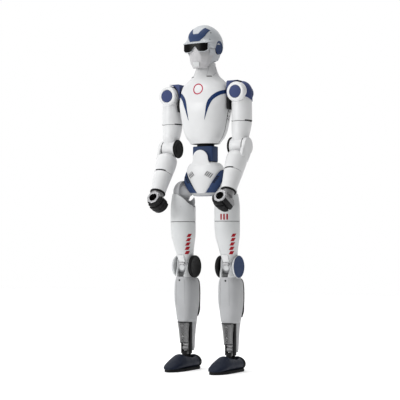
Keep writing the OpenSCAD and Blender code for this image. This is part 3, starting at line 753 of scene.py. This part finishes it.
def cover_row(z):
    """The shoulder cover's top: a dome over the arm."""
    f = math.sqrt(max(0.0004, 1 - ((z - SHOULDER_Z) / 56.5) ** 2))
    return [8, 53 * f, 53 * f, 46 * f, 2.2, 2.2]


cover_dome = Surface([(1280, 8, 53, 53, 46, 2.2), (SHOULDER_Z, 8, 53, 53, 46, 2.2)], x=TUBE[0] - 1,
                     top=(SHOULDER_Z, cover_row))
elbow_skin = Surface([
    (1098, -8, 33, 29, 34, 2.6), (1124, -6, 37, 37, 40, 2.5), (1150, -1, 41, 45, 44, 2.3),
    (1172, 4, 45.5, 47, 47, 2.1), (1190, 7, 48.4, 48.6, 48.6, 2.0), (1207.6, 8, 49.2, 49.2, 49.2, 2.0),
], x=TUBE[0] - 1)

HAND_X, HAND_Z, HAND_FRONT = -12, -300, -46
GRIP_R = 20


def octagon(r, a):
    """Radius of an eight-sided outline at an angle, in degrees."""
    return r * math.cos(math.radians(22.5)) / math.cos(math.radians((a % 45) - 22.5))


def hand_arc(a0, a1, r_in, r_out, y0, y1, n):
    """A band round the grip hole, at angles from +X towards the fingertips (-Z)."""
    rings = []
    for i in range(n + 1):
        a = a0 + (a1 - a0) * i / n
        c, s = cos_sin(a)
        ro = r_out(a) if callable(r_out) else r_out
        rings.append([(HAND_X + r * c, y, HAND_Z - r * s)
                      for r, y in ((r_in, y0), (ro, y0), (ro, y1), (r_in, y1))])
    return facing(loft(rings))


for side in SIDES:
    arm = partial(piece, side=side)
    inner = arc(ARM_X, SHOULDER_Z, 57.8, 196, 91, 20)
    arm("yoke", facing(side_prism([(132.5, 1333)] + inner + [(ARM_X, 1407), (138, 1407), (132.5, 1402)],
                                  -30, 58)), "shoulder", "slate", ["shoulder_yoke"], edge=2.2)
    arm("yoke_plate", facing(join(disc(38, 57, 65, (ARM_X, 0, SHOULDER_Z), "y", 2),
                                  block((133, 58, 1316), (ARM_X, 64, 1390)))), "shoulder", "slate",
        edge=0)
    arm("shoulder_boot", disc(44, 117, 133, (0, SHOULDER_Y, SHOULDER_Z), "x", 3), "shoulder", "black",
        edge=0)
    # A black block in each armpit: the shoulder joint's dark inside, with painted shade under the shoulder.
    arm("shoulder_inner", facing(side_prism([(133, 1272), (137, 1268), (144, 1270), (148, 1298),
                                             (138, 1334), (133, 1334)], -30, 50)), "shoulder", "black",
        edge=2)
    skirt = lambda a: lerp(((-70, 1330), (-30, 1322), (30, 1306), (100, 1300), (170, 1330)), a)
    cap = cover_dome.panel((-62, 148), (skirt, SHOULDER_Z + 56.2), 56, 22, ease=sine_ease)
    arm("shoulder_cover", cap, "upper_arm", "slate", ["shoulder_cover"], wall=4.5, edge=1.6)
    ring = turned([(0.5, -50.5), (31.8, -50.5), (32.2, -52.6), (34, -53.2), (42, -52.6), (45.8, -50.4),
                   (47.8, -47), (48.4, -43), (48.4, 8), (46, 14), (40, 18), (0.5, 18)],
                  (DISC_X, 0, SHOULDER_Z), "y")
    arm("shoulder_ring", facing(ring), "upper_arm", "white", edge=0)
    arm("shoulder_disc", facing(turned([(0.5, -55), (28.5, -55), (30, -54.4), (30.6, -53.2),
                                        (30.6, -49), (0.5, -49)], (DISC_X, 0, SHOULDER_Z), "y")),
        "upper_arm", "slate", ["shoulder_disc"], edge=0)
    arm("upper_arm_shell", upper_arm.solid(1209.6, 1349, 64, 18), "upper_arm", "white", ["upper_arm"],
        edge=1.4)
    arm("upper_arm_gap", disc(48.2, 1205, 1212, TUBE, "z", 0.5), "upper_arm", "black", edge=0)
    for k, span in enumerate(((-45, 40), (140, 225))):
        arm(f"upper_arm_slot_{k}", upper_arm.panel(span, (1209.8, 1214), 20, 2, lift=0.3), "upper_arm",
            "black", wall=1.2, edge=0.2)
    barrel = turned([(2, 157), (39.5, 157), (41.2, 157.8), (42, 159.5), (42, 221.5), (41.2, 223.2),
                     (39.5, 224), (2, 224)], ELBOW_AXIS, "x")
    arm("elbow_housing", elbow_skin.solid(1098, 1207.6, 64, 16), "elbow", "white", ["elbow_housing"],
        edge=1)
    arm("elbow_barrel", barrel, "elbow", "white", edge=0)
    arm("elbow_gap", disc(42.8, 222.6, 225.2, ELBOW_AXIS, "x", 0.4), "elbow", "black", edge=0)
    arm("elbow_disc", turned([(2, 147.4), (24, 147.4), (26, 149), (38, 149), (40, 147.6), (43.5, 147.6),
                              (45.5, 149.5), (46, 152), (46, 154), (44, 156.6), (2, 156.6)],
                             ELBOW_AXIS, "x"), "elbow", "black", ["elbow_disc"], edge=0)

    # From here on each shape is drawn in the forearm's own frame
    lower = lambda name, shape, *rest, **more: arm(name, moved(shape, forearm), *rest, **more)
    up = lambda profile: turned(profile, (0, 0, 0), "z")
    lower("forearm_shell", up([(2, -145.4), (45.2, -145.4), (46.1, -144.6), (49, -118), (50.5, -100),
                               (51.5, -78), (50.6, -64), (47.5, -54), (42, -47.5), (36, -45.5), (2, -45)]),
          "forearm", "white", ["forearm_upper"], edge=0)
    fork = loft([[(x0 + w * power(c, 0.35), d * power(s, 0.8), z) for c, s in circle(40)]
                 for z, x0, w, d in ((-4, 38, 9.6, 41.6), (-30, 38, 9.6, 40), (-50, 37, 11, 38),
                                     (-72, 35, 13, 34))])
    lower("forearm_fork", facing(fork), "forearm", "white", edge=1.4)
    lower("forearm_disc", disc(42, 27.8, 48, (0, 0, 0), "x", 3), "forearm", "white", edge=0)
    lower("forearm_gap", disc(44.5, -146.5, -143, (0, 0, 0), "z", 0.5), "forearm", "black", edge=0)
    slot = ((44.5, -145.2), (46.9, -145.2), (47.2, -140.6), (44.5, -140.6))
    slot = loft([[(r * c, r * s, z) for r, z in slot] for c, s in map(cos_sin, range(225, 300, 5))])
    lower("forearm_slot", facing(slot), "forearm", "black", edge=0.3)
    lower("forearm_sleeve", up([(2, -246), (35.4, -246), (36.6, -244.8), (38.6, -218), (42.4, -180),
                                (46, -149), (45.4, -147.2), (2, -146.6)]), "wrist", "white",
          ["forearm_lower"], edge=0)
    lower("wrist_ring", up([(2, -254), (36, -254), (38, -252.4), (38, -247.4), (36.5, -246), (2, -246)]),
          "wrist", "black", edge=0)
    lower("wrist_neck", up([(2, -276), (27, -276), (31, -254), (2, -253)]), "wrist", "hand", edge=0)
    plate = hand_arc(0, 359.99, GRIP_R, lambda a: octagon(32, a), HAND_FRONT, HAND_FRONT + 12, 96)
    lower("hand_plate", facing(plate), "wrist", "metal", ["palm"], edge=1.2)
    lower("hand_back", hand_arc(192, 376, GRIP_R + 0.6, lambda a: octagon(37, a), HAND_FRONT + 8, 44, 40),
          "wrist", "hand", edge=1.6)
    lower("hand_knuckles", hand_arc(18, 60, GRIP_R + 0.6, lambda a: octagon(38, a), HAND_FRONT + 9, 42, 6),
          "wrist", "black", edge=2)
    lower("hand_lining", hand_arc(192, 376, GRIP_R - 0.4, GRIP_R + 1, HAND_FRONT + 1, 43, 40), "wrist",
          "black", edge=0.3)
    fingers = [hand_arc(62, 190, GRIP_R + 0.4, r, HAND_FRONT + 7 + 19.4 * k,
                        HAND_FRONT + 7 + 19.4 * k + 18, 9) for k, r in enumerate((44, 48, 47, 43))]
    lower("finger_set", join(*fingers), "fingers", "black", ["fingers"], edge=2.6)

# -------------------- legs

KNEE = local("knee_pitch_left")
KNEE_AXIS = (0, *KNEE[1:])
ANKLE = local("ankle_pitch_left")
LEG_X = HIP_X

# The thigh collar's upper edge: angle and height
TOP_EDGE = ((0, 862), (45, 855), (90, 835), (150, 800), (180, 800), (210, 815), (240, 845), (270, 862),
            (315, 866), (360, 862))
thigh_top = Surface([
    (728, HIP_Y, 62, 62, 62, 2.0), (775, HIP_Y, 62, 62, 62, 2.0), (800, HIP_Y, 61.6, 61.6, 61.6, 2.0),
    (835, HIP_Y, 57, 60.5, 60.5, 2.0), (868, HIP_Y, 50, 58, 58, 2.0),
], x=LEG_X)
thigh = Surface([
    (522, 20, 24, 33, 33, 3.2), (540, 17, 31, 37, 36, 2.8), (562, 12, 39, 42, 40, 2.4),
    (585, 7, 43, 46, 44, 2.3), (613, 2, 49, 52, 50, 2.2), (651, -4, 58, 58, 58, 2.1),
    (690, -7, 61.5, 61.5, 61.5, 2), (726, HIP_Y, 62, 62, 62, 2),
], x=LEG_X)
shin = Surface([
    (235, 36, 39, 56, 44, 2.6, 2.3), (250, 35, 42, 60, 49, 2.8, 2.4), (290, 34, 46.5, 61.5, 58, 3, 2.6),
    (340, 33, 52, 67, 64, 3, 2.7), (400, 33, 52, 68, 62, 3, 2.8), (434, 32, 49, 66, 59, 3, 2.8),
    (452, 30, 41, 66, 54, 3, 2.8), (470, 28, 40.5, 66, 50, 3, 2.8), (508, 26, 40.5, 52, 50, 3, 2.8),
    (538, 24, 40.5, 46, 40, 3, 2.8), (560, 22, 40.5, 42, 30, 3, 2.8),
], x=LEG_X)
FORK_R = 53


def fork_reach(z):
    if z < KNEE[2]:
        return FORK_R + 0.25 * (KNEE[2] - z)
    return math.sqrt(max(16, FORK_R ** 2 - (z - KNEE[2]) ** 2))


def fork_front(z):
    x = 18.6 + 21.8 * max(0, (z - 462) / 92)
    return max(shin.front_angle(z, min(x, 40.4)) - 360, shin.angle_at_y(z, KNEE[1] - fork_reach(z)))


def fork_back(z):
    return shin.angle_at_y(z, KNEE[1] + min(fork_reach(z), 34 + (z - 452) * 0.35))


BALL_R, BALL_HALF = 57, 45.5


def oval(r, half, angles=range(-90, 91, 6)):
    """Profile of a turned oval body, r in radius and half in half its length."""
    return [(max(0.5, r * c), half * s) for c, s in map(cos_sin, angles)]


ball = turned([(2, -50), (14, -50), (40, -10), (56, -8)] + oval(BALL_R, BALL_HALF, range(-8, 91, 7)),
              HIP, "x")
ball_room = lambda gap: turned(oval(BALL_R + gap, BALL_HALF + gap), HIP, "x")
roll_room = turned(oval(59, 59), HIP, "x")

# The shoe's rows run along it: place, height of its middle, half width, depth down, depth up
SHOE = [(-122, 36, 20, 24, 20), (-113, 36, 35, 26, 29), (-95, 36, 40, 26, 34), (-60, 36, 43, 26, 33),
        (-20, 36, 45, 26, 35), (20, 36, 46, 26, 40), (44, 36, 46.5, 26, 45), (58, 36, 46.5, 26, 40),
        (92, 31, 45, 21, 30), (125, 24, 38, 14, 20), (145, 19, 27, 9, 13), (155, 16, 13, 5, 7)]
shoe_skin = Surface([(y, z, w, down, up, 2.6, 1.85) for y, z, w, down, up in SHOE])
# The sole's edge before the heel's round end: place and half width
SOLE_EDGE = ((20, 47), (-30, 47.5), (-80, 45), (-115, 38), (-138, 26), (-150, 14), (-154, 4))


def shoe_place(p):
    """Shoe rows are drawn standing up; this lays them down, toe forward."""
    x, h, along = p
    return (LEG_X + x, -along, h)


for side in SIDES:
    leg = partial(piece, side=side)
    leg("hip_ball", facing(ball), "hip", "grey", ["hip_ball"], edge=0)
    shell = thigh_top.panel((0, 360), (728.5, lambda a: lerp(TOP_EDGE, a % 360)), 96, 24, closed=True)
    leg("thigh_collar", shell, "thigh", "pale", ["thigh_upper"], wall=4, edge=1.6,
        cuts=[ball_room(1.5)])
    leg("thigh_core", thigh_top.solid(729, 800, 48, 6, lift=-4.5), "thigh", "grey", edge=0,
        cuts=[ball_room(2)])
    leg("thigh_actuator", facing(disc(48, 12, 30, (LEG_X - 2, 0, 826), "y", 8)), "thigh", "grey",
        edge=0, cuts=[roll_room])
    leg("thigh_screws", studs(thigh_top, [(833, 281), (802, 250)]), "thigh", "mesh", edge=0)
    leg("thigh_gap", disc(60.6, 726.3, 730, (LEG_X, HIP_Y, 0), "z", 0.4), "thigh", "black", edge=0)
    leg("thigh_shell", thigh.solid(522, 726, 64, 26), "knee", "pale", ["thigh_lower"], edge=1.4)
    leg("knee_hub", disc(37, LEG_X - 24, LEG_X + 24, KNEE_AXIS, "x", 3), "knee", "grey", edge=0)
    front = lambda z: lerp(((522, -14), (545, -24), (570, -34)), z)
    leg("knee_plate", grid([[(LEG_X + 17 * (i / 6 - 1), front(z) - 3.5 + 2 * (i / 6 - 1) ** 2, z)
                             for i in range(13)] for z in (528, 537, 546, 555, 564)]), "knee", "white",
        wall=6, edge=1.6)
    leg("knee_line", block((LEG_X - 15, -26, 518), (LEG_X + 15, -12, 527)), "knee", "mesh", edge=1.4)
    leg("knee_cap", facing(disc(15, -18, 6, (LEG_X, 0, 503), "y", 3, 40)), "knee", "pale", edge=0)

    # Five red marks, on the +X side of both legs
    mark_angle = 324 if side[1] > 0 else 216
    leg("thigh_marks", join(*[thigh.patch(z, mark_angle + 0.14 * (z - 618) * side[1], (20, 16),
                                          10 * side[1], 0.5) for z in (660, 639, 618, 597, 576)]),
        "knee", "red", wall=1, edge=0.2)

    leg("knee_drum", disc(55, LEG_X + 41.6, LEG_X + 48.4, KNEE_AXIS, "x", 1.4, 72), "shin", "pale", edge=0)
    on_knee = lambda profile: turned([(r, LEG_X + x) for r, x in profile], KNEE_AXIS, "x", 72)
    leg("knee_disc_outer", on_knee([(2, 47), (53, 47), (53.4, 49), (52.4, 50.4), (47, 50.4), (45.8, 49.4),
                                    (2, 49.6)]), "shin", "blue", ["knee_discs"], edge=0)
    leg("knee_disc_inner", on_knee([(2, -56.4), (46, -56.4), (47, -57), (51, -57), (53.6, -55.4),
                                    (55, -52), (55, -44), (54, -41.6), (2, -41.6)]), "shin", "black",
        edge=0)
    leg("shin_shell", shin.solid(236, 458, 72, 30), "shin", "grey", ["shin_shell"], edge=1.2)
    for k, (a, b) in enumerate(((fork_front, fork_back),
                                (lambda z: 180 - fork_back(z), lambda z: 180 - fork_front(z)))):
        leg(f"shin_fork_{k}", shin.panel((a, b), (450, 559), 18, 30), "shin", "pale", wall=9, edge=1.4)
    leg("shin_hole", studs(shin, [(441, 272)], 4.6, 3, 1.2), "shin", "black", edge=0)
    leg("shin_seams", join(*[shin.panel((a - 0.5, a + 0.5), (322, 446), 2, 24, lift=0.4)
                             for a in (252, 288)]), "shin", "hand", wall=0.8, edge=0)
    calf = Surface([(z, cy, hw + 2, front, back + 7 + 13 * math.exp(-((z - 290) / 26) ** 2), nf, nb)
                    for z, (cy, hw, front, back, nf, nb) in [(z, shin.row(z)) for z in range(256, 460, 8)]],
                   x=LEG_X)
    leg("calf_strip", calf.panel((27, 153), (262, 450), 36, 40), "shin", "black", ["calf_cover"],
        wall=6, edge=2)
    tendon = [(62, 93), (79, 91), (84, 108), (88, 150), (96, 205), (112, 262), (56, 262), (44, 240),
              (50, 170)]
    leg("heel_tendon", facing(prism(tendon, LEG_X - 14, LEG_X + 14, "x")), "shin", "grey", edge=4)
    leg("ankle_bars", join(*[block((LEG_X + x, 15, 80), (LEG_X + x + 9, 37, 240)) for x in (17.5, -26.5)]),
        "shin", "black", ["ankle_frame"], edge=2)
    leg("ankle_web", block((LEG_X - 17.4, 16, 121.5), (LEG_X + 17.4, 30, 240)), "shin", "hand", edge=2)
    mesh_skin = Surface([(132, 8, 21, 19, 12, 3.4), (190, 8, 25, 24, 12, 3.4), (236, 8, 30, 30, 12, 3.4)],
                        x=LEG_X)
    nu, nv = 22, 26
    points = [mesh_skin.point(134 + 100 * j / nv, 183 + 174 * i / nu) for j in range(nv + 1)
              for i in range(nu + 1)]
    cells = [((j - 1) * (nu + 1) + i, j * (nu + 1) + i + 1, (j + 1) * (nu + 1) + i,
              j * (nu + 1) + i - 1) for j in range(1, nv) for i in range(1, nu) if (i + j) % 2]
    leg("ankle_mesh", (points, cells), "shin", "mesh", ["ankle_cover"], edge=0, strut=2.5)
    leg("ankle_mesh_back", mesh_skin.panel((184, 356), (135, 236), 20, 10, lift=-2.4), "shin", "black",
        wall=1.5, edge=0)
    leg("ankle_mesh_rim", join(*[tube([mesh_skin.point(z, 183 + 174 * i / 24, 0.4) for i in range(25)], r)
                                 for z, r in ((134, 1.4), (235, 1.8))]), "shin", "black", edge=0)
    leg("ankle_screws", studs(mesh_skin, [(216, 270), (164, 270)], 3, 3, 1.2), "shin", "metal", edge=0)
    cross = join(disc(12, LEG_X - 16.6, LEG_X + 16.6, (0, ANKLE[1], ANKLE[2]), "x", 2, 32),
                 disc(10, ANKLE[1] - 16, ANKLE[1] + 16, (LEG_X, 0, 84), "y", 2, 32),
                 disc(9, 84, 112, (LEG_X, ANKLE[1], 0), "z", 1, 32))
    leg("ankle_joint", facing(cross), "ankle", "hand", ["ankle_link"], edge=0)

    upper = moved(shoe_skin.solid(-122, 155, 56, 44), shoe_place)
    well = turned([(31, 34), (31, 60), (34, 140)], (LEG_X, ANKLE[1] + 4, 0), "z", 40)
    mouth = loft([[(LEG_X + w * c, 29 + d * t, z) for c, t in circle(48)]
                  for z, w, d in ((54, 25, 60), (64, 29, 66), (100, 34, 74))])
    floor_cut = block((LEG_X - 70, -190, -30), (LEG_X + 70, 190, 14.5))
    leg("shoe_upper", facing(upper), "foot", "shoe", ["shoe"], edge=1.4,
        cuts=[facing(well), facing(mouth), facing(floor_cut)])
    leg("shoe_counter", facing(moved(shoe_skin.solid(-121.5, -84, 56, 12, lift=1.2), shoe_place)), "foot",
        "sole", edge=1, cuts=[facing(mouth), facing(floor_cut)])
    leg("shoe_post", join(*[block((LEG_X - 13, y, 28), (LEG_X + 13, y + 7, 94)) for y in (1, 42)]),
        "foot", "black", edge=2)
    outline = [(LEG_X + 46 * c, 62 + 59 * s) for c, s in map(cos_sin, range(0, 181, 12))]
    outline += [(LEG_X - w, y) for y, w in SOLE_EDGE] + [(LEG_X + w, y) for y, w in SOLE_EDGE[::-1]]
    leg("shoe_sole", prism(outline, 0, 14, "z"), "foot", "sole", ["sole"], edge=2.4)

# Three plain red bars where the left thigh carries a number
piece("thigh_bars", join(*[thigh_top.patch(748, a, (8, 28), 0, 0.5) for a in (271, 285, 299)]),
      "thigh_left", "red", wall=1, edge=0.2)

# -------------------- stage, lights and camera

FLOOR_HALF = 9000
floor = make_object("floor", grid([[(x, y, 0) for x in (-FLOOR_HALF, FLOOR_HALF)]
                                   for y in (-FLOOR_HALF, FLOOR_HALF)]))
floor.data.materials.append(make_finish("floor_pale", (0.93, 0.93, 0.93), 0.7, vary=0.01, bump=0.02,
                                        wear=0))
floor_shader = floor.data.materials[0].node_tree.nodes["Principled BSDF"]
floor_shader.inputs["Emission Color"].default_value = (1, 1, 1, 1)
floor_shader.inputs["Emission Strength"].default_value = 0.3

# The sky is pale everywhere but towards the robot's left, as in the photo
world = bpy.data.worlds.new("studio")
bpy.context.scene.world = world
world.use_nodes = True
sky, wires = world.node_tree.nodes, world.node_tree.links
direction, towards, shade = (sky.new("ShaderNodeTexCoord"), sky.new("ShaderNodeVectorMath"),
                             sky.new("ShaderNodeMapRange"))
towards.operation = "DOT_PRODUCT"
towards.inputs[1].default_value = (-0.88, 0.30, 0.36)
wires.new(direction.outputs["Generated"], towards.inputs[0])
wires.new(towards.outputs["Value"], shade.inputs["Value"])
for key, value in zip(("From Min", "From Max", "To Min", "To Max"), (-0.85, 0.55, 0.13, 1.0)):
    shade.inputs[key].default_value = value
wires.new(shade.outputs["Result"], sky["Background"].inputs["Strength"])
sky["Background"].inputs["Color"].default_value = (1, 1, 1, 1)
bpy.context.scene.view_settings.view_transform = "Standard"


def softbox(name, place, target, size, power):
    light = bpy.data.lights.new(name, "AREA")
    light.shape, light.size, light.energy = "SQUARE", size, power
    o = bpy.data.objects.new(name, light)
    bpy.context.scene.collection.objects.link(o)
    o.location = place
    o.rotation_mode = "QUATERNION"
    o.rotation_quaternion = (Vector(target) - Vector(place)).to_track_quat("-Z", "Y")


CHEST = (0, SPINE_Y, 1.2)
softbox("key", (-2.2, -4.2, 2.4), CHEST, 1.8, 78)
softbox("top", (-0.4, -0.6, 5.0), CHEST, 3.0, 90)

CAMERA_AZIMUTH = math.radians(30)
CAMERA_DISTANCE, CAMERA_HEIGHT, AIM_ASIDE, PITCH = 6.0, 0.6, 0.028, math.radians(2.225)
right = Vector((math.cos(CAMERA_AZIMUTH), math.sin(CAMERA_AZIMUTH), 0))
back = Vector((math.sin(CAMERA_AZIMUTH), -math.cos(CAMERA_AZIMUTH), 0))
spine = Vector((0, SPINE_Y, CAMERA_HEIGHT))
camera = bpy.data.objects.new("camera", bpy.data.cameras.new("camera"))
bpy.context.scene.collection.objects.link(camera)
bpy.context.scene.camera = camera
camera.data.lens, camera.data.sensor_width = 110.5, 36
camera.location = spine + back * CAMERA_DISTANCE
aim = spine - right * AIM_ASIDE + Vector((0, 0, CAMERA_DISTANCE * math.tan(PITCH)))
camera.rotation_mode = "QUATERNION"
camera.rotation_quaternion = (aim - camera.location).to_track_quat("-Z", "Y")
